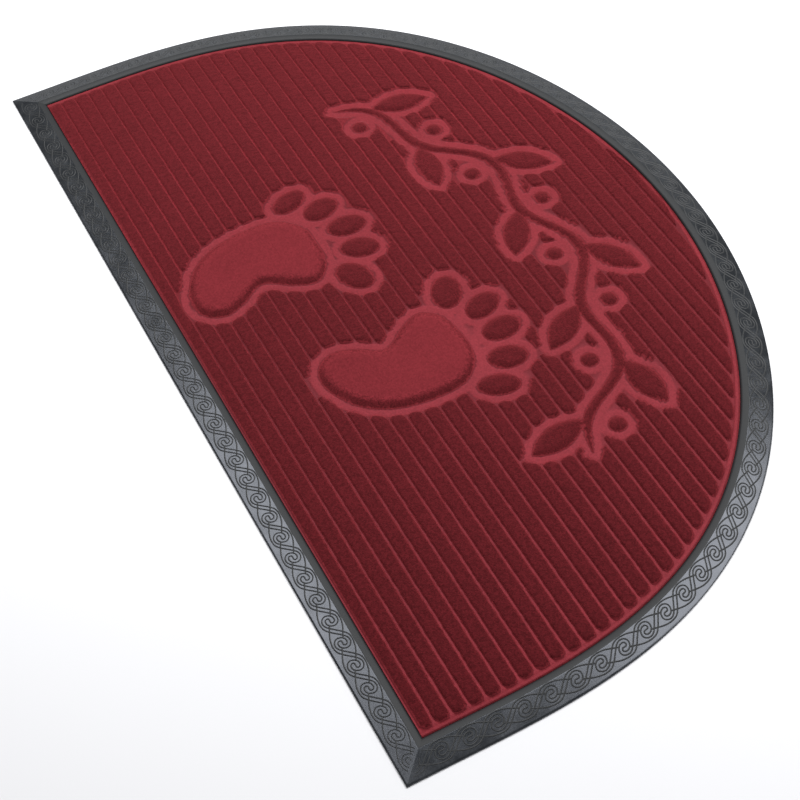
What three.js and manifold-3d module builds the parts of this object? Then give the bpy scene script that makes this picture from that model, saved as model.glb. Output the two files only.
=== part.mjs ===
// A half-round entrance mat: a moulded PVC base with a ramped border all round, and a ribbed
// carpet with two raised footprints and a raised leaf vine, laid in the recess of the base.
// The straight edge runs along X on the -Y side, the arch is on the +Y side, and Z = 0 is the underside.
import * as THREE from 'three';
import Module from 'manifold-3d';

// The mat's size in millimetres: along its straight edge, and from there to the top of the arch
const MAT_WIDTH = 750;
const MAT_DEPTH = 450;
const STRAIGHT_EDGE_Y = -MAT_DEPTH / 2;

// The arch grows from half the width to the whole depth. These two terms square its shoulders.
const ARCH_SQUARENESS = 12.6;
const ARCH_FINE_SQUARENESS = 2.15;
const ARCH_STEPS = 72;
const TANGENT_STEP = 1e-4;
const HALVINGS = 40;

// The section of the border: how far in from the mat's edge, and how high
const BORDER_SECTION = [
  { inset: 0, z: 0 },
  { inset: 0, z: 1.1 },
  { inset: 1.2, z: 1.5 },
  { inset: 18.2, z: 4.95 },
  { inset: 19.2, z: 5.2 },
  { inset: 20.2, z: 5.1 },
  { inset: 22.6, z: 4.1 },
  { inset: 24.0, z: 3.4 },
];
const BORDER_WIDTH = 24;
const FLOOR_THICKNESS = 1.6;

// The carpet lies in the recess with a little play all round and under it
const PLAY = 0.3;
const CARPET_BOTTOM = FLOOR_THICKNESS + PLAY;
const PRESSED_TOP = 3.2;
const PILE_TOP = 5.7;
const SHOULDER = 0.9;

// Ribs run along the straight edge. A groove is pressed between each rib and the next.
const FIRST_GROOVE = 36;
const RIB_PITCH = 12.62;
const RIB_COUNT = 32;
const GROOVE_WIDTH = 1.4;
const PLAIN_MARGIN = 2.2;
const RIM_MARGIN = 1;
const END_MARGIN = 2.5;
const RIB_CORNER = 3;
const ROUNDING_STEPS = 2;
const SMALLEST_SCRAP = 180;

// A foot in its own frame: along points to the toes, out to the side of the small toe
const SOLE = [
  { out: 2, along: 59.5 },
  { out: 22, along: 55 },
  { out: 37.5, along: 39 },
  { out: 40.5, along: 14.5 },
  { out: 37.5, along: -9 },
  { out: 29.5, along: -29 },
  { out: 15, along: -45.5 },
  { out: -10, along: -57 },
  { out: -29.5, along: -53.5 },
  { out: -39, along: -37.5 },
  { out: -33.5, along: -19 },
  { out: -22.5, along: 0.5 },
  { out: -36, along: 22 },
  { out: -42, along: 41 },
  { out: -27, along: 55.5 },
];
const SOLE_STEPS = 45;
const TOES = [
  { out: -50, along: 69, long: 17.8, wide: 12.6, turn: -25 },
  { out: -24, along: 86.5, long: 16.4, wide: 11.6, turn: -66 },
  { out: 3.5, along: 88, long: 16.8, wide: 11.8, turn: -85 },
  { out: 31, along: 77.5, long: 16.2, wide: 11.8, turn: 74 },
  { out: 51.5, along: 58.5, long: 17, wide: 10.8, turn: 68 },
];
const TOE_STEPS = 18;
const FEET = [
  { x: -80, y: -126, side: -1 },
  { x: 72, y: -72, side: 1 },
];

// The vine winds along a circle that is centred below the mat's middle. Its leaves stand
// on alternate sides of the stem, and a round bud fills the bend across from each.
const VINE_CENTRE_Y = -186;
const VINE_RADIUS = 291;
const VINE_HALF_LENGTH = 238;
const STEM_WAVES = 4;
const STEM_SWING = 10;
const STEM_HALF_WIDTH = 5;
const STEM_STEPS = 48;
const STEM_TIP = { halfWidthShare: 0.2, taper: 8 };
const LEAF = { length: 52, halfWidth: 11.5, lean: 37, root: 3, fullness: 0.8 };
const LEAF_STEPS = 7;
const BUD = { out: 22, radius: 7.5 };
const BUD_STEPS = 12;

// Pressed carpet all round each raised form. A form's foot is sunk into the cloth to join it.
const SURROUND = 6;
const FOOT_Z = (CARPET_BOTTOM + PRESSED_TOP) / 2;
const CLEARING_TOP = PILE_TOP + 1;
const SHARPEST_MITRE = 0.5;

// How each raised form rises to its top: inset from its outline, and depth under the pile's top
const PILE_SHOULDER = [
  { inset: 0, drop: SHOULDER },
  { inset: SHOULDER, drop: 0 },
];
const SOLE_DOME = [
  { inset: 0, drop: 1.5 },
  { inset: 3, drop: 0.6 },
  { inset: 9, drop: 0 },
];

// The arch, as a point at the given angle, moved in from the mat's edge along its normal
function archRadius(angle) {
  const rise = (MAT_DEPTH - MAT_WIDTH / 2) / 2 - ARCH_FINE_SQUARENESS;
  return MAT_WIDTH / 2
    + rise * (1 - Math.cos(2 * angle))
    + ARCH_SQUARENESS * (1 - Math.cos(4 * angle))
    + ARCH_FINE_SQUARENESS * (1 - Math.cos(6 * angle));
}

function archEdge(angle) {
  const radius = archRadius(angle);
  return new THREE.Vector2(radius * Math.cos(angle), STRAIGHT_EDGE_Y + radius * Math.sin(angle));
}

function archPoint(angle, inset) {
  const along = archEdge(angle + TANGENT_STEP).sub(archEdge(angle - TANGENT_STEP)).normalize();
  const inward = new THREE.Vector2(-along.y, along.x);
  return archEdge(angle).addScaledVector(inward, inset);
}

// The angle at which the right half of the inset arch reaches a height above the straight edge
function archAngleAt(height, inset) {
  let low = 0;
  let high = Math.PI / 2;
  for (let halving = 0; halving < HALVINGS; halving += 1) {
    const middle = (low + high) / 2;
    if (archPoint(middle, inset).y - STRAIGHT_EDGE_Y < height) {
      low = middle;
    } else {
      high = middle;
    }
  }
  return (low + high) / 2;
}

function archHalfWidth(height, inset) {
  return archPoint(archAngleAt(height, inset), inset).x;
}

// The whole outline at an inset: up the arch from the right corner to the left one
function matOutline(inset) {
  const start = archAngleAt(inset, inset);
  const points = [];
  for (let step = 0; step <= ARCH_STEPS; step += 1) {
    const angle = THREE.MathUtils.lerp(start, Math.PI - start, step / ARCH_STEPS);
    points.push(archPoint(angle, inset));
  }
  return points;
}

// Moves each point of a closed outline inwards, by the mitre of its two edges
function insetOutline(points, distance) {
  return points.map((point, index) => {
    const before = points[(index + points.length - 1) % points.length];
    const after = points[(index + 1) % points.length];
    const first = point.clone().sub(before).normalize();
    const second = after.clone().sub(point).normalize();
    const inward = new THREE.Vector2(-first.y - second.y, first.x + second.x).normalize();
    const reach = distance / Math.max(SHARPEST_MITRE, inward.dot(new THREE.Vector2(-first.y, first.x)));
    return point.clone().addScaledVector(inward, reach);
  });
}

// A closed solid through loops with the same number of points, one above or inside the other
function stackedSolid(loops) {
  const count = loops[0].points.length;
  const positions = [];
  const index = [];
  for (const { points, z } of loops) {
    for (const point of points) {
      positions.push(point.x, point.y, z);
    }
  }
  for (let ring = 0; ring + 1 < loops.length; ring += 1) {
    for (let side = 0; side < count; side += 1) {
      const a = ring * count + side;
      const b = ring * count + ((side + 1) % count);
      index.push(a, b, b + count, a, b + count, a + count);
    }
  }
  const top = (loops.length - 1) * count;
  for (const [a, b, c] of THREE.ShapeUtils.triangulateShape(loops[0].points, [])) {
    index.push(c, b, a);
  }
  for (const [a, b, c] of THREE.ShapeUtils.triangulateShape(loops.at(-1).points, [])) {
    index.push(top + a, top + b, top + c);
  }
  const geometry = new THREE.BufferGeometry();
  geometry.setAttribute('position', new THREE.Float32BufferAttribute(positions, 3));
  geometry.setIndex(index);
  return geometry;
}

// manifold-3d joins and cuts the closed solids
const manifold = await Module();
manifold.setup();

function solidOf(geometry) {
  const mesh = new manifold.Mesh({
    numProp: 3,
    vertProperties: new Float32Array(geometry.attributes.position.array),
    triVerts: new Uint32Array(geometry.index.array),
  });
  return new manifold.Manifold(mesh);
}

function geometryOf(solid) {
  const mesh = solid.getMesh();
  const geometry = new THREE.BufferGeometry();
  geometry.setAttribute('position', new THREE.BufferAttribute(mesh.vertProperties, 3));
  geometry.setIndex(new THREE.BufferAttribute(mesh.triVerts, 1));
  geometry.computeVertexNormals();
  return geometry;
}

function joined(solids) {
  return solids.reduce((whole, solid) => whole.add(solid));
}

// A raised form stands on the pressed carpet, from a little under its top
function raised(outline, shape) {
  const loops = [{ points: outline, z: FOOT_Z }];
  for (const { inset, drop } of shape) {
    loops.push({ points: insetOutline(outline, inset), z: PILE_TOP - drop });
  }
  return solidOf(stackedSolid(loops));
}

// The clearing that the pressed surround of a form takes out of the ribs
function clearing(outline) {
  return solidOf(stackedSolid([
    { points: outline, z: CARPET_BOTTOM },
    { points: outline, z: CLEARING_TOP },
  ]));
}

// Corners of a polygon rounded by short curves
function roundedPolygon(corners, radius) {
  const shape = new THREE.Shape();
  corners.forEach((corner, index) => {
    const before = corners[(index + corners.length - 1) % corners.length];
    const after = corners[(index + 1) % corners.length];
    const enter = corner.clone().add(before.clone().sub(corner).setLength(radius));
    const leave = corner.clone().add(after.clone().sub(corner).setLength(radius));
    if (index === 0) {
      shape.moveTo(enter.x, enter.y);
    } else {
      shape.lineTo(enter.x, enter.y);
    }
    shape.quadraticCurveTo(corner.x, corner.y, leave.x, leave.y);
  });
  return shape.getPoints(ROUNDING_STEPS);
}

// Each rib is a bar that stops short of the border, with ends that slant by 45 degrees at most.
// Heights are counted from the straight edge. Scraps of rib between the clearings are left out
// where their volume is under SMALLEST_SCRAP, in cubic millimetres.
function ribOutline(row) {
  const groove = FIRST_GROOVE + (row - 1) * RIB_PITCH + GROOVE_WIDTH / 2;
  const low = Math.max(groove, BORDER_WIDTH + PLAIN_MARGIN);
  const high = Math.min(groove + RIB_PITCH - GROOVE_WIDTH, MAT_DEPTH - BORDER_WIDTH - PLAIN_MARGIN);
  const highEnd = archHalfWidth(high, BORDER_WIDTH + RIM_MARGIN) - END_MARGIN;
  const lowEnd = Math.min(archHalfWidth(low, BORDER_WIDTH + RIM_MARGIN) - END_MARGIN, highEnd + high - low);
  const corner = (x, height) => new THREE.Vector2(x, STRAIGHT_EDGE_Y + height);
  const corners = [corner(lowEnd, low), corner(highEnd, high), corner(-highEnd, high), corner(-lowEnd, low)];
  return roundedPolygon(corners, RIB_CORNER);
}

function footPoint(foot, out, along) {
  return new THREE.Vector2(foot.x + foot.side * out, foot.y + along);
}

// An outline that was mirrored runs the wrong way round, and is turned back
function counterClockwise(points) {
  return THREE.ShapeUtils.isClockWise(points) ? points.reverse() : points;
}

function soleOutline(foot, grow) {
  const knots = SOLE.map(({ out, along }) => new THREE.Vector3(out, along, 0));
  const curve = new THREE.CatmullRomCurve3(knots, true, 'catmullrom', 0.5);
  const points = curve.getPoints(SOLE_STEPS).slice(0, SOLE_STEPS);
  const outline = counterClockwise(points.map((point) => footPoint(foot, point.x, point.y)));
  return insetOutline(outline, -grow);
}

function toeOutline(foot, toe, grow) {
  const turn = THREE.MathUtils.degToRad(toe.turn);
  const points = [];
  for (let step = 0; step < TOE_STEPS; step += 1) {
    const angle = (2 * Math.PI * step) / TOE_STEPS;
    const along = (toe.long + grow) * Math.cos(angle);
    const across = (toe.wide + grow) * Math.sin(angle);
    const out = toe.out + along * Math.cos(turn) - across * Math.sin(turn);
    const up = toe.along + along * Math.sin(turn) + across * Math.cos(turn);
    points.push(footPoint(foot, out, up));
  }
  return counterClockwise(points);
}

// A place on the vine: how far along its circle from the middle, and how far outside it
function vinePoint(along, out) {
  const angle = along / VINE_RADIUS;
  const radius = VINE_RADIUS + out;
  return new THREE.Vector2(radius * Math.sin(angle), VINE_CENTRE_Y + radius * Math.cos(angle));
}

function stemSwing(along) {
  return STEM_SWING * Math.sin((Math.PI * STEM_WAVES * along) / VINE_HALF_LENGTH);
}

function stemOutline(grow) {
  const upper = [];
  const lower = [];
  for (let step = 0; step <= STEM_STEPS; step += 1) {
    const share = (2 * step) / STEM_STEPS - 1;
    const along = share * (VINE_HALF_LENGTH + grow / 2);
    const taper = Math.max(STEM_TIP.halfWidthShare, Math.sqrt(1 - share ** STEM_TIP.taper));
    const half = (STEM_HALF_WIDTH + grow) * taper;
    upper.push(vinePoint(along, stemSwing(along) + half));
    lower.push(vinePoint(along, stemSwing(along) - half));
  }
  return counterClockwise([...upper, ...lower.reverse()]);
}

// A leaf is the space between two arcs that meet at its root and its tip
function leafOutline(leaf, grow) {
  const base = vinePoint(leaf.along, leaf.swing + leaf.side * LEAF.root);
  const ahead = vinePoint(leaf.along + 1, leaf.swing + leaf.side * LEAF.root).sub(base).normalize();
  const turn = leaf.side * THREE.MathUtils.degToRad(LEAF.lean);
  const axis = ahead.rotateAround(new THREE.Vector2(), turn);
  const across = new THREE.Vector2(-axis.y, axis.x);
  const length = LEAF.length + 2 * grow;
  const halfWidth = LEAF.halfWidth + grow;
  const points = [];
  for (const side of [1, -1]) {
    for (let step = 0; step < LEAF_STEPS; step += 1) {
      const share = step / LEAF_STEPS;
      const along = side > 0 ? share : 1 - share;
      const wide = halfWidth * Math.sin(Math.PI * along) ** LEAF.fullness;
      const place = base.clone().addScaledVector(axis, along * length - grow);
      points.push(place.addScaledVector(across, side * wide));
    }
  }
  return counterClockwise(points);
}

function budOutline(leaf, grow) {
  const centre = vinePoint(leaf.along, leaf.swing - leaf.side * BUD.out);
  const points = [];
  for (let step = 0; step < BUD_STEPS; step += 1) {
    const angle = (2 * Math.PI * step) / BUD_STEPS;
    const reach = BUD.radius + grow;
    points.push(new THREE.Vector2(centre.x + reach * Math.cos(angle), centre.y + reach * Math.sin(angle)));
  }
  return points;
}

// One leaf in each bend of the stem
function vineLeaves() {
  const leaves = [];
  const bends = 2 * STEM_WAVES;
  for (let bend = 0; bend < bends; bend += 1) {
    const along = VINE_HALF_LENGTH * ((2 * bend + 1) / bends - 1);
    const swing = stemSwing(along);
    leaves.push({ along, swing, side: Math.sign(swing) });
  }
  return leaves;
}

// Every raised form with its outline, grown by the width of its surround where that is asked for
function motifOutlines(grow) {
  const outlines = { soles: [], toes: [], vine: [stemOutline(grow)] };
  for (const foot of FEET) {
    outlines.soles.push(soleOutline(foot, grow));
    for (const toe of TOES) {
      outlines.toes.push(toeOutline(foot, toe, grow));
    }
  }
  for (const leaf of vineLeaves()) {
    outlines.vine.push(leafOutline(leaf, grow));
    outlines.vine.push(budOutline(leaf, grow));
  }
  return outlines;
}

function ribs() {
  const bars = [];
  for (let row = 0; row < RIB_COUNT; row += 1) {
    bars.push(raised(ribOutline(row), PILE_SHOULDER));
  }
  const grown = motifOutlines(SURROUND);
  const clearings = [...grown.soles, ...grown.toes, ...grown.vine].map(clearing);
  const pieces = joined(bars).subtract(joined(clearings)).decompose();
  return joined(pieces.filter((piece) => piece.volume() > SMALLEST_SCRAP));
}

function carpetSolid() {
  const outline = matOutline(BORDER_WIDTH + PLAY);
  const cloth = solidOf(stackedSolid([
    { points: outline, z: CARPET_BOTTOM },
    { points: outline, z: PRESSED_TOP },
  ]));
  const { soles, toes, vine } = motifOutlines(0);
  const domes = soles.map((sole) => raised(sole, SOLE_DOME));
  const pads = [...toes, ...vine].map((pad) => raised(pad, PILE_SHOULDER));
  return joined([cloth, ribs(), ...domes, ...pads]);
}

// Two pieces: the base that is moulded in one with its border, and the carpet
function baseMesh() {
  const loops = BORDER_SECTION.map(({ inset, z }) => ({ points: matOutline(inset), z }));
  loops.push({ points: matOutline(BORDER_WIDTH), z: FLOOR_THICKNESS });
  const geometry = stackedSolid(loops);
  geometry.computeVertexNormals();
  const material = new THREE.MeshStandardMaterial({ color: 0x3c3f43, roughness: 0.45, metalness: 0 });
  const mesh = new THREE.Mesh(geometry, material);
  mesh.name = 'base_with_border';
  return mesh;
}

function carpetMesh() {
  const material = new THREE.MeshStandardMaterial({ color: 0x741f27, roughness: 0.95, metalness: 0 });
  const mesh = new THREE.Mesh(geometryOf(carpetSolid()), material);
  mesh.name = 'ribbed_carpet';
  return mesh;
}

const mat = new THREE.Group();
mat.add(baseMesh(), carpetMesh());

export default mat;
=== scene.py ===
import math

import bmesh
import bpy
import numpy as np
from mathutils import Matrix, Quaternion, Vector


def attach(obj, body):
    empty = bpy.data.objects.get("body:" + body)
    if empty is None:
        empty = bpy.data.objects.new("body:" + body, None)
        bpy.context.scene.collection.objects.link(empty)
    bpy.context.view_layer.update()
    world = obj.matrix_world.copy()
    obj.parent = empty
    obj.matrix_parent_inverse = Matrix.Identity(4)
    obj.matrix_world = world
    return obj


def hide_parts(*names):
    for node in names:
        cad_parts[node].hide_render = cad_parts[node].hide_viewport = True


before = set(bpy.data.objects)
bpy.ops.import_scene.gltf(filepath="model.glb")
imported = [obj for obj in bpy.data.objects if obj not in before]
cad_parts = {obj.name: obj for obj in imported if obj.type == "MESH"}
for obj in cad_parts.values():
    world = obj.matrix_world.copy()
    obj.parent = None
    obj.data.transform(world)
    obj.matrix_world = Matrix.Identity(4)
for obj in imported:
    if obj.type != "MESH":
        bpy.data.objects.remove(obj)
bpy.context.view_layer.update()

# Camera. It looks down from beyond the mat's right end, a few degrees off level as a camera
# held by hand is, with the whole mat across the diagonal of the picture.
MM = 0.001
CAMERA_PLACE = Vector((790.8, -398.5, 949.7)) * MM
CAMERA_AIM = Vector((97.2, -83.8, 0)) * MM
CAMERA_ROLL = math.radians(-4.25)
CAMERA_LENS = 73.4
SENSOR_WIDTH = 36

camera_data = bpy.data.cameras.new("camera")
camera_data.lens = CAMERA_LENS
camera_data.sensor_width = SENSOR_WIDTH
camera = bpy.data.objects.new("camera", camera_data)
camera.location = CAMERA_PLACE
camera.rotation_mode = "QUATERNION"
level = (CAMERA_AIM - CAMERA_PLACE).to_track_quat("-Z", "Y")
camera.rotation_quaternion = level @ Quaternion((0, 0, 1), CAMERA_ROLL)
bpy.context.scene.collection.objects.link(camera)
bpy.context.scene.camera = camera

# Studio. The mat lies on plain white card under one long softbox, hung high over its far side,
# with a pale wall behind and the rest of the room dim.
FLOOR_SIZE = 6000 * MM
FLOOR_DROP = 0.2 * MM
FLOOR_WHITE = "#e5e5e7"
ROOM_WHITE = "#f2f4f8"
ROOM_STRENGTH = 0.2
# A light faces straight down, is tilted from there, and is then turned about the vertical
LIGHTS = [
    {"name": "softbox", "place": (-351, 485, 1500), "turn": 51.8, "tilt": -10,
     "size": (2720, 1220), "watts": 67},
    {"name": "pale_wall", "place": (-2700, 1500, 900), "turn": 61, "tilt": 76,
     "size": (3600, 1300), "watts": 9},
]


def linear(colour):
    """An sRGB hex colour as linear red, green, blue and alpha."""
    channels = [int(colour[start:start + 2], 16) / 255 for start in (1, 3, 5)]
    parts = [c / 12.92 if c <= 0.04045 else ((c + 0.055) / 1.055) ** 2.4 for c in channels]
    return (*parts, 1.0)


def add_node(material, kind, inputs=(), **settings):
    """Adds a node, with its settings, and a value or a link for each input named."""
    made = material.node_tree.nodes.new(kind)
    for name, value in settings.items():
        setattr(made, name, value)
    for name, value in dict(inputs).items():
        if isinstance(value, bpy.types.NodeSocket):
            material.node_tree.links.new(value, made.inputs[name])
        else:
            made.inputs[name].default_value = value
    return made


def new_material(name):
    """A material with no nodes yet."""
    material = bpy.data.materials.new(name)
    material.use_nodes = True
    material.node_tree.nodes.clear()
    return material


def mesh_object(name, bm, material):
    """A piece from a finished bmesh, at the origin."""
    mesh = bpy.data.meshes.new(name)
    bm.to_mesh(mesh)
    bm.free()
    mesh.materials.append(material)
    piece = bpy.data.objects.new(name, mesh)
    bpy.context.scene.collection.objects.link(piece)
    return piece


# Matt card takes the light evenly and mirrors nothing
card = new_material("matt_card")
card_surface = add_node(card, "ShaderNodeBsdfPrincipled", {
    "Base Color": linear(FLOOR_WHITE),
    "Roughness": 0.9,
    "Specular IOR Level": 0.1,
})
add_node(card, "ShaderNodeOutputMaterial", {"Surface": card_surface.outputs["BSDF"]})

floor_bm = bmesh.new()
bmesh.ops.create_grid(floor_bm, x_segments=1, y_segments=1, size=FLOOR_SIZE / 2)
bmesh.ops.translate(floor_bm, verts=floor_bm.verts, vec=(0, 0, -FLOOR_DROP))
mesh_object("floor", floor_bm, card)

for light in LIGHTS:
    light_data = bpy.data.lights.new(light["name"], "AREA")
    light_data.shape = "RECTANGLE"
    light_data.size = light["size"][0] * MM
    light_data.size_y = light["size"][1] * MM
    light_data.energy = light["watts"]
    lamp = bpy.data.objects.new(light["name"], light_data)
    lamp.location = Vector(light["place"]) * MM
    lamp.rotation_euler = (math.radians(-light["tilt"]), 0, math.radians(light["turn"]))
    lamp.visible_camera = False
    bpy.context.scene.collection.objects.link(lamp)

world = bpy.data.worlds.new("studio")
world.use_nodes = True
world.node_tree.nodes["Background"].inputs["Color"].default_value = linear(ROOM_WHITE)
world.node_tree.nodes["Background"].inputs["Strength"].default_value = ROOM_STRENGTH
bpy.context.scene.world = world
bpy.context.scene.view_settings.view_transform = "Standard"

# Base. The PVC base is moulded in one with its border: a thin lip, a polished ramp that rises
# inwards to a ridge, and a matt shoulder down to the recess that the carpet lies in. The section
# has a row close before the ridge, which keeps the ramp's shading flat up to it.
MAT_WIDTH = 750 * MM
MAT_DEPTH = 450 * MM
STRAIGHT_EDGE_Y = -MAT_DEPTH / 2
ARCH_SQUARENESS = 12.6 * MM
ARCH_FINE_SQUARENESS = 2.15 * MM
ARCH_SAMPLES = 4000
TURN_STEP = 1e-4
BASE_STEPS = 220
BORDER_WIDTH = 24
# Across the border from its outer edge inwards, with how far each edge is rounded
BORDER_SECTION = [
    {"inset": 0, "z": 0, "round": 0},
    {"inset": 0, "z": 1.1, "round": 0.35},
    {"inset": 1.4, "z": 1.4, "round": 0},
    {"inset": 17.6, "z": 4.85, "round": 0},
    {"inset": 18.8, "z": 5.1, "round": 0.6},
    {"inset": 23.0, "z": 4.4, "round": 0.7},
    {"inset": BORDER_WIDTH, "z": 3.2, "round": 0.15},
    {"inset": BORDER_WIDTH, "z": 1.6, "round": 0},
]
RIDGE_ROW = 4
ROUNDING_STEPS = 2
WELD_DISTANCE = 0.01 * MM
CREASE_ANGLE = math.radians(50)
MITRE_TURN = math.radians(45)
PVC_BLACK = "#191b1d"
PVC_GRIME = "#2a2c2e"
PVC_GLINT = "#eef3ff"
GRAIN_SIZE = 0.35 * MM
GRAIN_DEPTH = 0.02 * MM
PIT_DEPTH = 0.04 * MM
FLOW_SIZE = 18 * MM


def arch_edge(angle):
    """x and y on the mat's curved edge, which grows from half the width to the whole depth."""
    rise = (MAT_DEPTH - MAT_WIDTH / 2) / 2 - ARCH_FINE_SQUARENESS
    radius = MAT_WIDTH / 2 + rise * (1 - np.cos(2 * angle))
    squareness = ARCH_SQUARENESS * (1 - np.cos(4 * angle))
    fine_squareness = ARCH_FINE_SQUARENESS * (1 - np.cos(6 * angle))
    radius += squareness + fine_squareness
    return radius * np.cos(angle), STRAIGHT_EDGE_Y + radius * np.sin(angle)


def arch_place(angle, inset):
    """x and y at a distance in from the curved edge, along its normal."""
    ahead_x, ahead_y = arch_edge(angle + TURN_STEP)
    back_x, back_y = arch_edge(angle - TURN_STEP)
    along_x = ahead_x - back_x
    along_y = ahead_y - back_y
    length = np.hypot(along_x, along_y)
    x, y = arch_edge(angle)
    return x - inset * along_y / length, y + inset * along_x / length


def mat_outline(inset, steps):
    """The outline at an inset: over the arch, from the right corner to the left one."""
    angles = np.linspace(0, math.pi / 2, ARCH_SAMPLES)
    start = np.interp(STRAIGHT_EDGE_Y + inset, arch_place(angles, inset)[1], angles)
    return np.column_stack(arch_place(np.linspace(start, math.pi - start, steps + 1), inset))


# The border is a grid bent round the mat, welded where it meets itself at the right corner
base_bm = bmesh.new()
columns = BASE_STEPS + 1
rows = len(BORDER_SECTION) - 1
bmesh.ops.create_grid(base_bm, x_segments=columns, y_segments=rows, size=1)
outlines = [mat_outline(point["inset"] * MM, BASE_STEPS) for point in BORDER_SECTION]
row_layer = base_bm.verts.layers.int.new("section_row")
for vert in base_bm.verts:
    column = round((vert.co.x + 1) / 2 * columns) % columns
    row = round((vert.co.y + 1) / 2 * rows)
    vert[row_layer] = row
    vert.co = (*outlines[row][column], BORDER_SECTION[row]["z"] * MM)
bmesh.ops.remove_doubles(base_bm, verts=base_bm.verts, dist=WELD_DISTANCE)
bmesh.ops.holes_fill(base_bm, edges=[edge for edge in base_bm.edges if edge.is_boundary])
bmesh.ops.recalc_face_normals(base_bm, faces=base_bm.faces)
rings = [
    [edge for edge in base_bm.edges if all(vert[row_layer] == row for vert in edge.verts)]
    for row in range(rows + 1)
]
for ring, point in zip(rings, BORDER_SECTION):
    if point["round"]:
        bmesh.ops.bevel(base_bm, geom=ring, offset=point["round"] * MM, offset_type="OFFSET",
                        segments=ROUNDING_STEPS, profile=0.5, affect="EDGES", material=-1)

# The surface is smooth but for the edges of the lip, the recess and the mitre at each corner.
# From the ridge's rounding inwards it has the second material.
for face in base_bm.faces:
    face.smooth = True
    face.material_index = int(min(vert[row_layer] for vert in face.verts) >= RIDGE_ROW)
for edge in base_bm.edges:
    turn = edge.link_faces[0].normal.xy.angle(edge.link_faces[1].normal.xy, 0)
    mitre = MITRE_TURN < turn < math.pi - MITRE_TURN
    edge.smooth = edge.calc_face_angle() < CREASE_ANGLE and not mitre

# Moulded PVC is a black-grey plastic with a satin skin: a soft, broken reflection over a fine
# grain, a little greyer and duller in cloudy patches where the melt flowed and feet have rubbed
pvc = new_material("moulded_pvc")
pvc_place = add_node(pvc, "ShaderNodeTexCoord").outputs["Object"]
grain = add_node(pvc, "ShaderNodeTexNoise", {
    "Vector": pvc_place,
    "Scale": 1 / GRAIN_SIZE,
    "Detail": 2,
})
flow = add_node(pvc, "ShaderNodeTexNoise", {
    "Vector": pvc_place,
    "Scale": 1 / FLOW_SIZE,
    "Detail": 5,
    "Roughness": 0.65,
})
flow_colour = add_node(pvc, "ShaderNodeValToRGB", {"Fac": flow.outputs["Fac"]})
flow_colour.color_ramp.elements[0].position = 0.42
flow_colour.color_ramp.elements[0].color = linear(PVC_BLACK)
flow_colour.color_ramp.elements[1].position = 0.72
flow_colour.color_ramp.elements[1].color = linear(PVC_GRIME)
flow_gloss = add_node(pvc, "ShaderNodeMapRange", {
    "Value": flow.outputs["Fac"],
    "From Min": 0.35,
    "From Max": 0.7,
    "To Min": 0.18,
    "To Max": 0.31,
})
grain_bump = add_node(pvc, "ShaderNodeBump", {
    "Height": grain.outputs["Fac"],
    "Strength": 0.5,
    "Distance": GRAIN_DEPTH,
})
pvc_surface = add_node(pvc, "ShaderNodeBsdfPrincipled", {
    "Base Color": flow_colour.outputs["Color"],
    "Roughness": flow_gloss.outputs["Result"],
    "IOR": 1.6,
    "Specular Tint": linear(PVC_GLINT),
    "Normal": grain_bump.outputs["Normal"],
})
add_node(pvc, "ShaderNodeOutputMaterial", {"Surface": pvc_surface.outputs["BSDF"]})

# Spark-eroded PVC is the same plastic where the mould was left rough. Its fine pits swallow light,
# so the shoulder stays one dull grey-black all round the mat.
eroded_pvc = new_material("spark_eroded_pvc")
pits = add_node(eroded_pvc, "ShaderNodeTexNoise", {
    "Vector": add_node(eroded_pvc, "ShaderNodeTexCoord").outputs["Object"],
    "Scale": 1 / GRAIN_SIZE,
})
pit_bump = add_node(eroded_pvc, "ShaderNodeBump", {
    "Height": pits.outputs["Fac"],
    "Strength": 0.5,
    "Distance": PIT_DEPTH,
})
eroded_surface = add_node(eroded_pvc, "ShaderNodeBsdfPrincipled", {
    "Base Color": linear(PVC_BLACK),
    "Roughness": 0.55,
    "Specular IOR Level": 0.32,
    "Normal": pit_bump.outputs["Normal"],
})
add_node(eroded_pvc, "ShaderNodeOutputMaterial", {"Surface": eroded_surface.outputs["BSDF"]})

base = mesh_object("mat_base", base_bm, pvc)
base.data.materials.append(eroded_pvc)
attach(base, "root")
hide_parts("base_with_border")

# Border scroll. A running double spiral is moulded on the ramp as fine low matt ridges. Each line
# winds out of the middle of one spiral, passes over the next, and ends in the one after that.
SCROLL_PITCH = 20
SCROLL_INSET = 10.6
SCROLL_LINE_RADIUS = 0.6
SCROLL_FLATNESS = 0.42
SCROLL_SINK = 0.02
SCROLL_FADE = 60
SCROLL_FADED_SINK = 0.2
SCROLL_MARGIN = 3
SCROLL_CREASE = math.radians(28)
SPARE_REPEATS = 2
STRAIGHT_PITCH = 19.34
ARCH_PITCH = 20.4
STRAIGHT_SPIRAL_X = 31.8
CURVE_STEPS = 6
# One line, from the middle of its spiral: along the border, and in from the row of spirals
SCROLL_LINE = [
    {"along": 0, "inward": 0},
    {"along": 1.6, "inward": 0.1},
    {"along": 2.4, "inward": 1.3},
    {"along": 1.7, "inward": 2.6},
    {"along": -0.3, "inward": 3.0},
    {"along": -2.8, "inward": 2.1},
    {"along": -4.4, "inward": 0.2},
    {"along": -4.9, "inward": -2.4},
    {"along": -3.2, "inward": -4.6},
    {"along": -0.5, "inward": -5.3},
    {"along": 2.2, "inward": -4.7},
    {"along": 4.7, "inward": -3.0},
    {"along": 8.1, "inward": 0},
    {"along": 12.6, "inward": 4.0},
    {"along": 16.2, "inward": 6.3},
    {"along": 20.6, "inward": 7.0},
    {"along": 24.8, "inward": 6.6},
    {"along": 28.8, "inward": 5.5},
    {"along": 32.7, "inward": 3.8},
    {"along": 37.1, "inward": 1.8},
]


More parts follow.
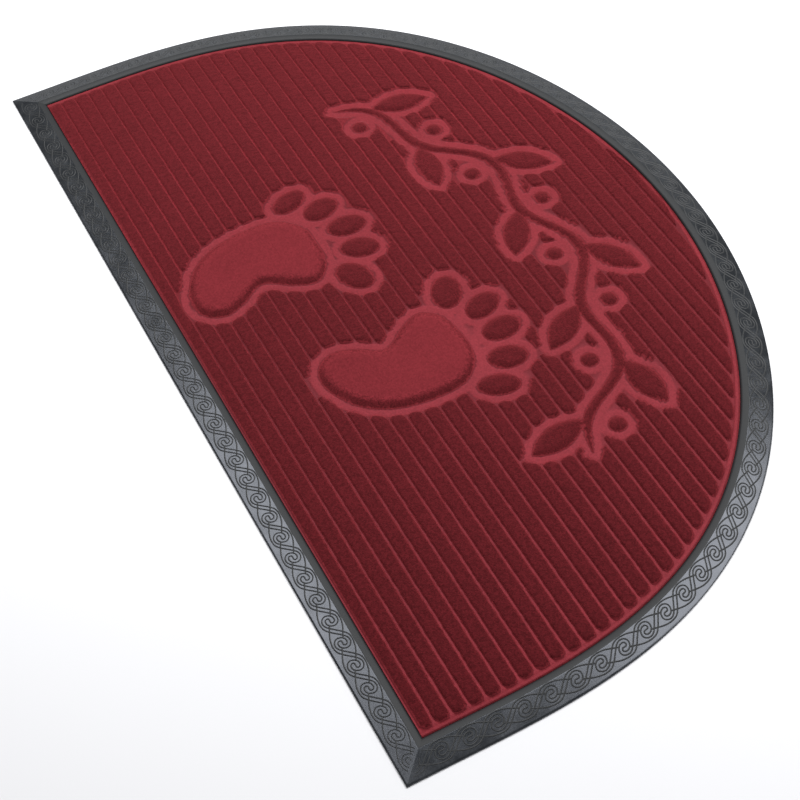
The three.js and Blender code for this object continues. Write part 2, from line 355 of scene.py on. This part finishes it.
def ramp_height(inset):
    """Height of the ramp, in millimetres, at an inset in millimetres."""
    ramp = BORDER_SECTION[1:RIDGE_ROW + 1]
    return np.interp(inset, [point["inset"] for point in ramp], [point["z"] for point in ramp])


# One repeat is the line and the same line turned by half a turn, each with a square section
scroll_curve = bpy.data.curves.new("scroll_repeat", "CURVE")
scroll_curve.dimensions = "3D"
scroll_curve.resolution_u = CURVE_STEPS
scroll_curve.bevel_depth = SCROLL_LINE_RADIUS
scroll_curve.bevel_resolution = 0
scroll_curve.use_fill_caps = True
for turned in (1, -1):
    spline = scroll_curve.splines.new("BEZIER")
    spline.bezier_points.add(len(SCROLL_LINE) - 1)
    for knot, point in zip(spline.bezier_points, SCROLL_LINE):
        knot.co = (turned * point["along"], turned * point["inward"], 0)
        knot.handle_left_type = "AUTO"
        knot.handle_right_type = "AUTO"
scroll_holder = bpy.data.objects.new("scroll_repeat", scroll_curve)
scroll_repeat = bpy.data.meshes.new_from_object(scroll_holder)
bpy.data.objects.remove(scroll_holder)

# Blasted PVC is the same plastic where the mould is blasted with grit. It mirrors nothing, so the
# lines are dark on a bright ramp and a little lighter on a dark one.
blasted_pvc = new_material("blasted_pvc")
blast_grain = add_node(blasted_pvc, "ShaderNodeTexNoise", {
    "Vector": add_node(blasted_pvc, "ShaderNodeTexCoord").outputs["Object"],
    "Scale": 1 / GRAIN_SIZE,
})
blast_bump = add_node(blasted_pvc, "ShaderNodeBump", {
    "Height": blast_grain.outputs["Fac"],
    "Strength": 0.5,
    "Distance": GRAIN_DEPTH,
})
blasted_surface = add_node(blasted_pvc, "ShaderNodeBsdfPrincipled", {
    "Base Color": linear(PVC_BLACK),
    "Roughness": 0.6,
    "IOR": 1.53,
    "Normal": blast_bump.outputs["Normal"],
})
add_node(blasted_pvc, "ShaderNodeOutputMaterial", {"Surface": blasted_surface.outputs["BSDF"]})


def scroll_strip(first, count, pitch, length):
    """Repeats laid end to end along a straight strip, and cut at the mitre of each corner."""
    bm = bmesh.new()
    for repeat in range(-SPARE_REPEATS, count + SPARE_REPEATS):
        before = len(bm.verts)
        bm.from_mesh(scroll_repeat)
        bm.verts.ensure_lookup_table()
        laid = bm.verts[before:]
        bmesh.ops.scale(bm, verts=laid, vec=(pitch / SCROLL_PITCH, 1, 1))
        bmesh.ops.translate(bm, verts=laid, vec=(first + repeat * pitch, SCROLL_INSET, 0))
    for end, outward in ((SCROLL_MARGIN, (-1, 1, 0)), (length - SCROLL_MARGIN, (1, 1, 0))):
        everything = bm.verts[:] + bm.edges[:] + bm.faces[:]
        bmesh.ops.bisect_plane(bm, geom=everything, plane_co=(end, 0, 0), plane_no=outward,
                               clear_outer=True)
        bmesh.ops.holes_fill(bm, edges=[edge for edge in bm.edges if edge.is_boundary])
    return bm


def lay_on_ramp(bm, length, place):
    """Moves a strip onto the ramp. Its lines run out flat towards both corners."""
    flat = np.array([vert.co for vert in bm.verts])
    along, inset, height = flat.T
    corner = np.clip(np.minimum(along, length - along) / SCROLL_FADE, 0, 1)
    sink = SCROLL_FADED_SINK + (SCROLL_SINK - SCROLL_FADED_SINK) * np.sqrt(corner)
    x, y = place(along * MM, inset * MM)
    z = (ramp_height(inset) + height * SCROLL_FLATNESS - sink) * MM
    for vert, spot in zip(bm.verts, np.column_stack((x, y, z))):
        vert.co = spot
    bmesh.ops.recalc_face_normals(bm, faces=bm.faces)


# The arch's length comes from small steps along it, and a place at a length from the same steps
edge_angles = np.linspace(0, math.pi, ARCH_SAMPLES)
edge_x, edge_y = arch_edge(edge_angles)
edge_lengths = np.concatenate(([0], np.cumsum(np.hypot(np.diff(edge_x), np.diff(edge_y)))))
arch_length = edge_lengths[-1] / MM
straight_length = MAT_WIDTH / MM


def on_straight(along, inset):
    """Along the straight edge from the left corner."""
    return along - MAT_WIDTH / 2, STRAIGHT_EDGE_Y + inset


def on_arch(along, inset):
    """Along the curved edge from the right corner."""
    return arch_place(np.interp(along, edge_lengths, edge_angles), inset)


def shade(piece, sharp_angle):
    """Smooth shading with an edge kept sharp where its faces meet at a wider angle."""
    piece.data.shade_smooth()
    piece.data.set_sharp_from_angle(angle=sharp_angle)


# A whole number of spirals fits the arch. On the straight edge one lies at a set place.
arch_count = round(arch_length / ARCH_PITCH)
arch_pitch = arch_length / arch_count
straight_count = round(straight_length / STRAIGHT_PITCH)
straight_first = (straight_length / 2 + STRAIGHT_SPIRAL_X) % STRAIGHT_PITCH
strips = [
    {"name": "scroll_arch", "place": on_arch, "length": arch_length,
     "first": arch_pitch / 2, "count": arch_count, "pitch": arch_pitch},
    {"name": "scroll_straight", "place": on_straight, "length": straight_length,
     "first": straight_first, "count": straight_count, "pitch": STRAIGHT_PITCH},
]
for strip in strips:
    strip_bm = scroll_strip(strip["first"], strip["count"], strip["pitch"], strip["length"])
    lay_on_ramp(strip_bm, strip["length"], strip["place"])
    scroll = mesh_object(strip["name"], strip_bm, blasted_pvc)
    shade(scroll, SCROLL_CREASE)
    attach(scroll, "root")

# Carpet backing. The felt's stiff back is one flat sheet, cut to the recess with a little play
# and bonded into it. The pile is needled through it and stands on its upper face.
PLAY = 0.3
BACKING_BOTTOM = 1.9
BACKING_TOP = 2.6
BACKING_RED = "#5c1c22"
LATEX_BROWN = "#4a2522"
LATEX_PATCH = 12 * MM
LATEX_GRAIN = 0.8 * MM
LATEX_DEPTH = 0.1 * MM

backing_outline = mat_outline((BORDER_WIDTH + PLAY) * MM, BASE_STEPS)
backing_bm = bmesh.new()
bmesh.ops.create_circle(backing_bm, cap_ends=True, segments=len(backing_outline), radius=1)
for vert, spot in zip(backing_bm.verts, backing_outline):
    vert.co = (*spot, BACKING_BOTTOM * MM)
backing_area = sum(face.calc_area() for face in backing_bm.faces)
raised = bmesh.ops.extrude_face_region(backing_bm, geom=backing_bm.faces[:])["geom"]
raised_verts = [element for element in raised if isinstance(element, bmesh.types.BMVert)]
backing_rise = (0, 0, (BACKING_TOP - BACKING_BOTTOM) * MM)
bmesh.ops.translate(backing_bm, verts=raised_verts, vec=backing_rise)
bmesh.ops.recalc_face_normals(backing_bm, faces=backing_bm.faces)

# Latex-coated felt back is a dull dark red, browner where the latex lies thick over the fibres
coating = new_material("latex_coated_back")
coating_place = add_node(coating, "ShaderNodeTexCoord").outputs["Object"]
latex_patches = add_node(coating, "ShaderNodeTexNoise", {
    "Vector": coating_place,
    "Scale": 1 / LATEX_PATCH,
    "Detail": 4,
})
latex_colour = add_node(coating, "ShaderNodeValToRGB", {"Fac": latex_patches.outputs["Fac"]})
latex_colour.color_ramp.elements[0].position = 0.4
latex_colour.color_ramp.elements[0].color = linear(BACKING_RED)
latex_colour.color_ramp.elements[1].position = 0.65
latex_colour.color_ramp.elements[1].color = linear(LATEX_BROWN)
latex_fibres = add_node(coating, "ShaderNodeTexNoise", {
    "Vector": coating_place,
    "Scale": 1 / LATEX_GRAIN,
})
latex_bump = add_node(coating, "ShaderNodeBump", {
    "Height": latex_fibres.outputs["Fac"],
    "Strength": 0.5,
    "Distance": LATEX_DEPTH,
})
coating_surface = add_node(coating, "ShaderNodeBsdfPrincipled", {
    "Base Color": latex_colour.outputs["Color"],
    "Roughness": 0.85,
    "Normal": latex_bump.outputs["Normal"],
})
add_node(coating, "ShaderNodeOutputMaterial", {"Surface": coating_surface.outputs["BSDF"]})

backing = mesh_object("carpet_backing", backing_bm, coating)
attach(backing, "root")
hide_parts("ribbed_carpet")

# Pile. Needle felt of polypropylene fibre is pressed hot: what the press reaches is flattened
# and shines paler, and the ribs, feet and vine are left standing as fuzzy dark pile.
PRESSED_TOP = 3.2
PILE_TOP = 5.7
FIRST_GROOVE = 36
RIB_PITCH = 12.62
# A groove at each end of the carpet: its width, and the share of the pile's rise left in it
LEFT_GROOVE = {"width": 0.7, "rise": 0.3}
RIGHT_GROOVE = {"width": 2.0, "rise": 0.2}
STRAIGHT_MARGIN = 2.2
ARCH_MARGIN = 4.3
RIB_CORNER = 4.6
SURROUND = 6
# The grid's rows from the middle of a groove to the middle of a rib
GROOVE_ROWS = [0, 0.6, 0.95, 1.2, 1.55, 2.1, 3.6, 6.31]
LEAST_ROW_GAP = 0.3
TIP_GAP = 0.1
COLUMN_STEP = 1.2
PILE_STRIPS = 4
PILE_CREASE = math.radians(80)
# A foot, from its middle: out to its outer side, and along to its toes. The other is its mirror.
SOLE = [
    {"out": 2, "along": 59.5},
    {"out": 22, "along": 55},
    {"out": 37.5, "along": 39},
    {"out": 40.5, "along": 14.5},
    {"out": 37.5, "along": -9},
    {"out": 29.5, "along": -29},
    {"out": 15, "along": -45.5},
    {"out": -10, "along": -57},
    {"out": -29.5, "along": -53.5},
    {"out": -39, "along": -37.5},
    {"out": -33.5, "along": -19},
    {"out": -22.5, "along": 0.5},
    {"out": -36, "along": 22},
    {"out": -42, "along": 41},
    {"out": -27, "along": 55.5},
]
SOLE_STEPS = 6
TOES = [
    {"out": -50, "along": 69, "half_length": 17.8, "half_width": 12.6, "turn": -25},
    {"out": -24, "along": 86.5, "half_length": 16.4, "half_width": 11.6, "turn": -66},
    {"out": 3.5, "along": 88, "half_length": 16.8, "half_width": 11.8, "turn": -85},
    {"out": 31, "along": 77.5, "half_length": 16.2, "half_width": 11.8, "turn": 74},
    {"out": 51.5, "along": 58.5, "half_length": 17, "half_width": 10.8, "turn": 68},
]
FEET = [
    {"x": -80, "y": -126, "side": -1},
    {"x": 72, "y": -72, "side": 1},
]
ROUND_STEPS = 40
# The vine's stem waves along an arc over the feet, with a leaf and a bud at each bend
VINE_CENTRE_Y = -186
VINE_RADIUS = 291
VINE_HALF_LENGTH = 238
STEM_WAVES = 4
STEM_SWING = 10
STEM_HALF_WIDTH = 5
STEM_STEPS = 96
STEM_TIP = {"half_width_share": 0.2, "taper": 8}
LEAF = {"length": 52, "half_width": 11.5, "lean": 37, "root": 3, "fullness": 0.8}
LEAF_STEPS = 14
BUD = {"out": 22, "radius": 7.5}
# How a raised form's edge is rounded: over what width, and how steeply it starts
SHAPES = {
    "sole": {"shoulder": 10, "fullness": 2},
    "pad": {"shoulder": 7, "fullness": 2.2},
    "rib": {"shoulder": 1.2, "fullness": 2.2},
}


def closed_curve(knots, steps):
    """A smooth closed curve through the knots, with some steps from each to the next."""
    before, start, end, after = (np.roll(knots, shift, axis=0) for shift in (1, 0, -1, -2))
    points = []
    for share in np.arange(steps) / steps:
        linear_part = (end - before) * share
        square_part = (2 * before - 5 * start + 4 * end - after) * share ** 2
        cubic_part = (3 * start - before - 3 * end + after) * share ** 3
        points.append((2 * start + linear_part + square_part + cubic_part) / 2)
    return np.stack(points, axis=1).reshape(-1, 2)


def foot_points(foot, points):
    """Points given out to the side and along to the toes, as x and y on the mat."""
    return np.array((foot["x"], foot["y"])) + points * np.array((foot["side"], 1))


def toe_points(toe):
    """The oval outline of a toe, turned by its angle."""
    angles = np.linspace(0, 2 * math.pi, ROUND_STEPS, endpoint=False)
    turn = math.radians(toe["turn"])
    along = toe["half_length"] * np.cos(angles)
    across = toe["half_width"] * np.sin(angles)
    out = toe["out"] + along * math.cos(turn) - across * math.sin(turn)
    up = toe["along"] + along * math.sin(turn) + across * math.cos(turn)
    return np.column_stack((out, up))


def vine_point(along, out):
    """A place on the vine: how far along its circle from the middle, and how far outside it."""
    angle = along / VINE_RADIUS
    radius = VINE_RADIUS + out
    return np.stack((radius * np.sin(angle), VINE_CENTRE_Y + radius * np.cos(angle)), axis=-1)


def stem_swing(along):
    """How far the stem swings out of its circle."""
    return STEM_SWING * np.sin(math.pi * STEM_WAVES * along / VINE_HALF_LENGTH)


def stem_outline():
    """Both sides of the stem, tapered to its two tips."""
    share = np.linspace(-1, 1, STEM_STEPS)
    along = share * VINE_HALF_LENGTH
    taper = np.maximum(STEM_TIP["half_width_share"], np.sqrt(1 - share ** STEM_TIP["taper"]))
    upper = vine_point(along, stem_swing(along) + STEM_HALF_WIDTH * taper)
    lower = vine_point(along, stem_swing(along) - STEM_HALF_WIDTH * taper)
    return np.concatenate((upper, lower[::-1]))


def leaf_outline(along, swing, side):
    """The space between two arcs that meet at the leaf's root and its tip."""
    root = vine_point(along, swing + side * LEAF["root"])
    ahead = vine_point(along + 1, swing + side * LEAF["root"]) - root
    turn = math.atan2(ahead[1], ahead[0]) + side * math.radians(LEAF["lean"])
    axis = np.array((math.cos(turn), math.sin(turn)))
    across = np.array((-axis[1], axis[0]))
    share = np.linspace(0, 1, LEAF_STEPS + 1)[:, None]
    middle = root + share * LEAF["length"] * axis
    half = LEAF["half_width"] * np.sin(math.pi * share) ** LEAF["fullness"] * across
    return np.concatenate((middle[:-1] + half[:-1], (middle - half)[:0:-1]))


def bud_outline(along, swing, side):
    """A round bud across the stem from a leaf."""
    angles = np.linspace(0, 2 * math.pi, ROUND_STEPS, endpoint=False)
    ring = BUD["radius"] * np.column_stack((np.cos(angles), np.sin(angles)))
    return vine_point(along, swing - side * BUD["out"]) + ring


def raised_forms():
    """Every raised form: its outline, and how its edge is rounded."""
    forms = [{"outline": stem_outline(), "shape": "pad"}]
    bends = 2 * STEM_WAVES
    for bend in range(bends):
        along = VINE_HALF_LENGTH * ((2 * bend + 1) / bends - 1)
        swing = float(stem_swing(along))
        side = math.copysign(1, swing)
        forms.append({"outline": leaf_outline(along, swing, side), "shape": "pad"})
        forms.append({"outline": bud_outline(along, swing, side), "shape": "pad"})
    sole_knots = np.array([(knot["out"], knot["along"]) for knot in SOLE])
    sole = closed_curve(sole_knots, SOLE_STEPS)
    for foot in FEET:
        forms.append({"outline": foot_points(foot, sole), "shape": "sole"})
        for toe in TOES:
            forms.append({"outline": foot_points(foot, toe_points(toe)), "shape": "pad"})
    return forms


def distance_inside(x, y, outline):
    """How far each point is inside a closed outline, or outside it as a negative number."""
    nearest = np.full(x.shape, np.inf)
    inside = np.zeros(x.shape, bool)
    for (start_x, start_y), (end_x, end_y) in zip(outline, np.roll(outline, -1, axis=0)):
        run_x = end_x - start_x
        run_y = end_y - start_y
        from_x = x - start_x
        from_y = y - start_y
        share = (from_x * run_x + from_y * run_y) / (run_x ** 2 + run_y ** 2)
        share = np.clip(share, 0, 1)
        nearest = np.minimum(nearest, np.hypot(from_x - share * run_x, from_y - share * run_y))
        if run_y:
            crossing = start_x + run_x * from_y / run_y
            inside ^= ((start_y > y) != (end_y > y)) & (x < crossing)
    return np.where(inside, nearest, -nearest)


def soft_minimum(first, second, blend):
    """The smaller of two distances, rounded where they are nearly the same."""
    overlap = np.maximum(blend - np.abs(first - second), 0)
    return np.minimum(first, second) - overlap ** 2 / (4 * blend)


def rounded_rise(distance, shoulder, fullness):
    """From 0 at an edge to 1 past its shoulder, steep at first and then level."""
    return 1 - (1 - np.clip(distance / shoulder, 0, 1)) ** fullness


# The pile is one grid of points. Its rows lie close together at the grooves and stop just short of
# the top of the arch, and its columns spread to the carpet's edge in every row. The heights of the
# rows are measured from the mat's straight edge.
edge_inset = BORDER_WIDTH + PLAY
rim_x, rim_y = arch_place(np.linspace(0, math.pi / 2, ARCH_SAMPLES), edge_inset * MM)
lowest = edge_inset
highest = MAT_DEPTH / MM - BORDER_WIDTH - PLAY - TIP_GAP
ribs_above = math.ceil((highest - FIRST_GROOVE) / RIB_PITCH)
one_rib = GROOVE_ROWS + [RIB_PITCH - row for row in GROOVE_ROWS[-2:0:-1]]
heights = [FIRST_GROOVE + rib * RIB_PITCH + row for rib in range(-1, ribs_above) for row in one_rib]
heights = [row for row in heights if lowest + LEAST_ROW_GAP < row < highest - LEAST_ROW_GAP]
heights = np.array([lowest, *heights, highest])
half_widths = np.interp(STRAIGHT_EDGE_Y + heights * MM, rim_y, rim_x) / MM
slants = np.gradient(half_widths, heights)
column_count = round(2 * half_widths.max() / COLUMN_STEP)
column_shares = np.linspace(-1, 1, column_count + 1)
grid_x = half_widths[:, None] * column_shares
grid_y = np.repeat(STRAIGHT_EDGE_Y / MM + heights[:, None], column_count + 1, axis=1)

# The edge of every rib wavers a little, and that of the feet and the vine less. Four draws added
# together spread twice as wide as one, so their sum is halved.
FELT_SEED = 11
EDGE_UNEVENNESS = 0.12
FORM_WAVER = 0.6
luck = np.random.default_rng(FELT_SEED)
draws = luck.normal(size=grid_x.shape)
uneven = draws + np.roll(draws, 1, 0) + np.roll(draws, 1, 1) + np.roll(draws, -1, 1)
uneven = uneven / 2 * EDGE_UNEVENNESS

# Ribs stand between the grooves, clear of the rim and of the pressed ground round each form.
# The grooves open from the carpet's left end to its right end. The distance from the arch is
# taken square to it, from its slant in each row.
openness = (grid_x / half_widths.max() + 1) / 2
groove_widths = LEFT_GROOVE["width"] + (RIGHT_GROOVE["width"] - LEFT_GROOVE["width"]) * openness
across_rib = (heights - FIRST_GROOVE) % RIB_PITCH
from_groove = np.minimum(across_rib, RIB_PITCH - across_rib)
groove_distance = from_groove[:, None] - groove_widths / 2
groove_distance = np.minimum(groove_distance, (heights - BORDER_WIDTH - STRAIGHT_MARGIN)[:, None])
rim_distance = (half_widths[:, None] - np.abs(grid_x)) / np.hypot(1, slants)[:, None] - ARCH_MARGIN
rib_distance = soft_minimum(groove_distance, rim_distance, RIB_CORNER)

# Each form rises from the pressed ground. The middle of a sole is flattened by the press. The
# flattened patch is set a little to the left and toward the arch, so the sole's dark pile rim is
# wider on its right and toward the straight edge: painted shade.
SOLE_SHADE_SHIFT = {"left": 2.4, "up": 1.6}
SOLE_RIM = 3
SOLE_BLEND = 6
rise = np.zeros(grid_x.shape)
flattened = np.zeros(grid_x.shape)
nearest_form = np.full(grid_x.shape, -np.inf)
for form in raised_forms():
    outline = form["outline"]
    low_x, low_y = outline.min(axis=0) - 2 * SURROUND
    high_x, high_y = outline.max(axis=0) + 2 * SURROUND
    near = (grid_x > low_x) & (grid_x < high_x) & (grid_y > low_y) & (grid_y < high_y)
    near_x = grid_x[near]
    near_y = grid_y[near]
    distance = distance_inside(near_x, near_y, outline)
    nearest_form[near] = np.maximum(nearest_form[near], distance)
    form_rise = rounded_rise(distance + uneven[near] * FORM_WAVER, **SHAPES[form["shape"]])
    rise[near] = np.maximum(rise[near], form_rise)
    if form["shape"] == "sole":
        shade_shifted_x = near_x + SOLE_SHADE_SHIFT["left"]
        shade_shifted_y = near_y - SOLE_SHADE_SHIFT["up"]
        press = (distance_inside(shade_shifted_x, shade_shifted_y, outline) - SOLE_RIM) / SOLE_BLEND
        flattened[near] = np.maximum(flattened[near], np.clip(press, 0, 1))
rib_distance = soft_minimum(rib_distance, -nearest_form - SURROUND, RIB_CORNER)

# What is left of a rib between two clearings is pressed flat where it is only a scrap
SHORTEST_RIB = 6
SCRAP_REACH = 1.2
SCRAP_EDGE = 2
CLEARED = -1
rib_numbers = np.floor((heights - FIRST_GROOVE) / RIB_PITCH)
for rib in np.unique(rib_numbers):
    rib_rows = rib_numbers == rib
    standing = (rib_distance[rib_rows] > SCRAP_REACH).any(axis=0)
    changes = np.flatnonzero(np.diff(np.concatenate(([False], standing, [False])).astype(int)))
    kept = np.zeros(column_count + 1, bool)
    for start, end in zip(changes[::2], changes[1::2]):
        if (end - start) * COLUMN_STEP > SHORTEST_RIB:
            kept[max(start - SCRAP_EDGE, 0):end + SCRAP_EDGE] = True
    rib_distance[np.ix_(rib_rows, ~kept)] = CLEARED
rib_rise = rounded_rise(rib_distance + uneven, **SHAPES["rib"])
rise = np.maximum(rise, rib_rise)

# The ground round the forms and the rim is pressed hardest, and the floor of a groove less so.
# Tufts roughen the surface, and the carpet's cut edge is drawn down all round.
PILE_ONSET = 0.3
GROUND_BLEND = 1.5
TUFT_ROOM = 0.15
PILE_TUFT = 0.13
PRESSED_TUFT = 0.03
SOLE_SMOOTHING = 0.7
EDGE_DROP = 0.5
pile_share = np.clip(rise / PILE_ONSET, 0, 1)
fuzz = pile_share * (1 - flattened * SOLE_SMOOTHING)
tufts = luck.normal(size=grid_x.shape) * (PRESSED_TUFT + (PILE_TUFT - PRESSED_TUFT) * fuzz)
ground_share = np.clip((SURROUND + GROUND_BLEND + nearest_form) / GROUND_BLEND, 0, 1)
ground_share = np.maximum(ground_share, np.clip(-rim_distance, 0, 1))
groove_rises = np.interp(openness, (0, 1), (LEFT_GROOVE["rise"], RIGHT_GROOVE["rise"]))
floor_rise = groove_rises * (1 - ground_share)
full_rise = PILE_TOP - TUFT_ROOM - PRESSED_TOP
grid_z = PRESSED_TOP + full_rise * (floor_rise + (1 - floor_rise) * rise) + tufts
grid_z = np.minimum(grid_z, PILE_TOP)
cut_edge = np.clip((rim_distance + ARCH_MARGIN) / COLUMN_STEP, 0, 1)
grid_z -= EDGE_DROP * (1 - cut_edge)

# The felt's tone runs from 0 on the pile to 1 on the hardest pressed ground, with the soles and
# the grooves between. A groove's tone is painted shade over pressed felt: it starts in the pile's
# tone at the left end of the carpet, has its own darker tone from the middle on, and is as pale as
# the hardest pressed ground at the right end.
SOLE_TONE = 0.5
SHADED_GROOVE_TONE = 0.75
GROOVE_SHADE_REACH = 0.5
GROOVE_SHADE_FADING = 3
shaded_groove_tone = SHADED_GROOVE_TONE * np.clip(openness / GROOVE_SHADE_REACH, 0, 1)
pressed_ground_or_unshaded = np.maximum(ground_share, openness ** GROOVE_SHADE_FADING)
tone_with_groove_shade = shaded_groove_tone + (1 - shaded_groove_tone) * pressed_ground_or_unshaded
# At its cut edge the felt keeps the pile's dark tone.
pressed_and_shade_share = np.maximum((1 - pile_share) * tone_with_groove_shade, flattened * SOLE_TONE) * cut_edge

# Needle felt is a mixture of dark and bright fibres: dull speckled pile that pales as it turns
# away from the eye, and smoother, paler red where it is pressed. The speckles are drawn at
# about twice a fibre tuft's width, because the real ones are too fine to show.
PILE_RED = "#2d080b"
SOLE_RED = "#6c2329"
# Painted shade: the grooves' red is darker than the pressed ground's, though both are pressed felt.
SHADED_GROOVE_RED = "#3f1116"
PRESSED_RED = "#76262d"
FELT_GLINT = "#ff7c8c"
FUZZ_RED = "#ff656d"
TUFT_SIZE = 1.1 * MM
FIBRE_SIZE = 0.9 * MM
FIBRE_DEPTH = 0.6 * MM
PATCH_SIZE = 60 * MM

felt = new_material("needle_felt")
felt_place = add_node(felt, "ShaderNodeTexCoord").outputs["Object"]
# The felt's tone attribute holds the press and, in the grooves, painted shade.
pressed_and_shade = add_node(felt, "ShaderNodeAttribute", attribute_name="pressed_and_shade").outputs["Fac"]
ground_colour = add_node(felt, "ShaderNodeValToRGB", {"Fac": pressed_and_shade})
ground_colour.color_ramp.elements[0].color = linear(PILE_RED)
ground_colour.color_ramp.elements[1].color = linear(PRESSED_RED)
ground_colour.color_ramp.elements.new(SOLE_TONE).color = linear(SOLE_RED)
ground_colour.color_ramp.elements.new(SHADED_GROOVE_TONE).color = linear(SHADED_GROOVE_RED)
speckle = add_node(felt, "ShaderNodeTexVoronoi", {
    "Vector": felt_place,
    "Scale": 1 / TUFT_SIZE,
})
speckle_grey = add_node(felt, "ShaderNodeSeparateColor", {"Color": speckle.outputs["Color"]})
speckle_strength = add_node(felt, "ShaderNodeMapRange", {
    "Value": pressed_and_shade,
    "From Max": SOLE_TONE,
    "To Min": 1.7,
    "To Max": 0.3,
})
speckle_value = add_node(felt, "ShaderNodeMath", {
    0: speckle_grey.outputs["Red"],
    1: speckle_strength.outputs["Result"],
}, operation="MULTIPLY")
patches = add_node(felt, "ShaderNodeTexNoise", {
    "Vector": felt_place,
    "Scale": 1 / PATCH_SIZE,
    "Detail": 3,
})
patch_value = add_node(felt, "ShaderNodeMapRange", {
    "Value": patches.outputs["Fac"],
    "From Min": 0.3,
    "From Max": 0.7,
    "To Min": 0.5,
    "To Max": 0.65,
})
felt_value = add_node(felt, "ShaderNodeMath", {
    0: speckle_value.outputs["Value"],
    1: patch_value.outputs["Result"],
}, operation="ADD")
felt_colour = add_node(felt, "ShaderNodeHueSaturation", {
    "Color": ground_colour.outputs["Color"],
    "Value": felt_value.outputs["Value"],
})
fibres = add_node(felt, "ShaderNodeTexNoise", {
    "Vector": felt_place,
    "Scale": 1 / FIBRE_SIZE,
    "Detail": 2,
})
fibre_strength = add_node(felt, "ShaderNodeMapRange", {
    "Value": pressed_and_shade,
    "From Max": SOLE_TONE,
    "To Min": 0.8,
    "To Max": 0.2,
})
fibre_bump = add_node(felt, "ShaderNodeBump", {
    "Height": fibres.outputs["Fac"],
    "Strength": fibre_strength.outputs["Result"],
    "Distance": FIBRE_DEPTH,
})
felt_roughness = add_node(felt, "ShaderNodeMapRange", {
    "Value": pressed_and_shade,
    "From Min": SOLE_TONE,
    "From Max": SHADED_GROOVE_TONE,
    "To Min": 1.0,
    "To Max": 0.42,
})
felt_surface = add_node(felt, "ShaderNodeBsdfPrincipled", {
    "Base Color": felt_colour.outputs["Color"],
    "Roughness": felt_roughness.outputs["Result"],
    "Specular IOR Level": 0.26,
    "Specular Tint": linear(FELT_GLINT),
    "Sheen Weight": 0.345,
    "Sheen Roughness": 0.7,
    "Sheen Tint": linear(FUZZ_RED),
    "Normal": fibre_bump.outputs["Normal"],
})
add_node(felt, "ShaderNodeOutputMaterial", {"Surface": felt_surface.outputs["BSDF"]})


def pile_strip(name, first_row, last_row):
    """A strip of pile: a grid with its rim drawn down and closed underneath."""
    strip_rows = last_row - first_row
    bm = bmesh.new()
    bmesh.ops.create_grid(bm, x_segments=column_count, y_segments=strip_rows, size=1)
    pressed_and_shade_layer = bm.verts.layers.float.new("pressed_and_shade")
    for vert in bm.verts:
        column = round((vert.co.x + 1) / 2 * column_count)
        row = first_row + round((vert.co.y + 1) / 2 * strip_rows)
        vert.co = Vector((grid_x[row, column], grid_y[row, column], grid_z[row, column])) * MM
        vert[pressed_and_shade_layer] = pressed_and_shade_share[row, column]
    rim = [edge for edge in bm.edges if edge.is_boundary]
    drawn = bmesh.ops.extrude_edge_only(bm, edges=rim)["geom"]
    for element in drawn:
        if isinstance(element, bmesh.types.BMVert):
            element.co.z = BACKING_TOP * MM
    bmesh.ops.holes_fill(bm, edges=[edge for edge in bm.edges if edge.is_boundary])
    bmesh.ops.recalc_face_normals(bm, faces=bm.faces)
    piece = mesh_object(name, bm, felt)
    shade(piece, PILE_CREASE)
    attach(piece, "root")
    return piece


# The pile is made in a few strips, cut along the middle of a groove, where the cut doesn't show
groove_rows = np.flatnonzero(np.isclose(from_groove, 0))
cuts = [groove_rows[len(groove_rows) * strip // PILE_STRIPS] for strip in range(1, PILE_STRIPS)]
bounds = [0, *cuts, len(heights) - 1]
pile = [
    pile_strip(f"pile_{strip + 1}", bounds[strip], bounds[strip + 1])
    for strip in range(PILE_STRIPS)
]
